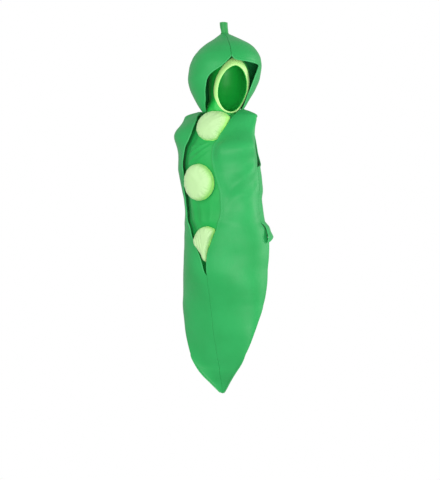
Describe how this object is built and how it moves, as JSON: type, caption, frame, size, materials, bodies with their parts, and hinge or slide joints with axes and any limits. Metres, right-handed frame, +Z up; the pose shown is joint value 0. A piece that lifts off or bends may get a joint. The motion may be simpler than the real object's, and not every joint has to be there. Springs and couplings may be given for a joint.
{
  "type": "pea pod costume",
  "caption": "Pea pod costume: a green pod-shaped tunic that opens over stuffed lime peas, with a hood, stalk, inner coif and lime face band",
  "frame": {"origin": "at the wearing point between the shoulders, 1150 mm above the pod's lower tip", "axes": "+Z up, the tunic's front towards -Y, the wearer's left towards +X; the hood is turned about 44 degrees towards +X"},
  "size_m": [0.4168, 0.3324, 1.518],
  "materials": {
    "pod_fabric": "smooth foam-backed knit with a soft sheen",
    "chest_fabric": "smooth stretch knit with a soft sheen",
    "pea_fabric": "soft stretch knit over stuffing",
    "stalk_fabric": "smooth knit over stuffing",
    "coif_fabric": "matte stretch knit",
    "band_fabric": "stretch binding with a soft sheen"
  },
  "bodies": {
    "root": {"tunic_front_left": "pod_fabric", "tunic_front_right": "pod_fabric", "tunic_back": "pod_fabric", "chest_panel": "chest_fabric", "pea_top": "pea_fabric", "pea_middle": "pea_fabric", "pea_bottom": "pea_fabric", "hood_left": "pod_fabric", "hood_right": "pod_fabric", "hood_stalk": "stalk_fabric", "coif": "coif_fabric", "face_band": "band_fabric"}
  },
  "joints": []
}
